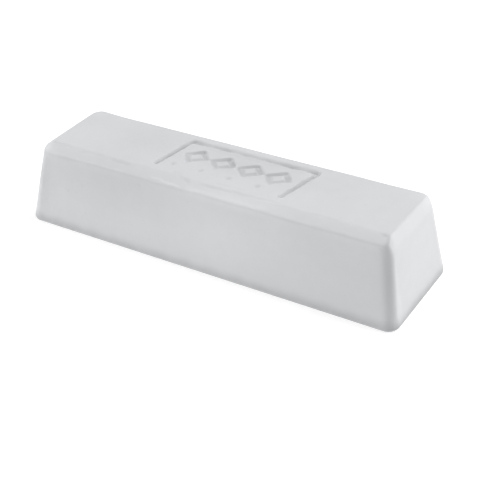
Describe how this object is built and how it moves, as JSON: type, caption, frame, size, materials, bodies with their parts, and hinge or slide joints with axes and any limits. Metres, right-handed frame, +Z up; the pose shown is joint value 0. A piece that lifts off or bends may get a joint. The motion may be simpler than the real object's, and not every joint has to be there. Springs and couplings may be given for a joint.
{
  "type": "gymnastics chalk block",
  "caption": "Long bar of pressed white gym chalk with tapered sides, rounded edges and a plain decorative mark of diamonds in an open frame pressed into its top, rubbed on hands or grips.",
  "frame": {"origin": "centre of the flat face that the bar rests on", "axes": "+X along the bar, +Y across it towards the side where the mark is deeper, +Z up"},
  "size_m": [0.17, 0.0504, 0.035],
  "materials": {
    "chalk": "matt, fine powdery surface"
  },
  "bodies": {
    "root": {"chalk_block": "chalk"}
  },
  "joints": []
}
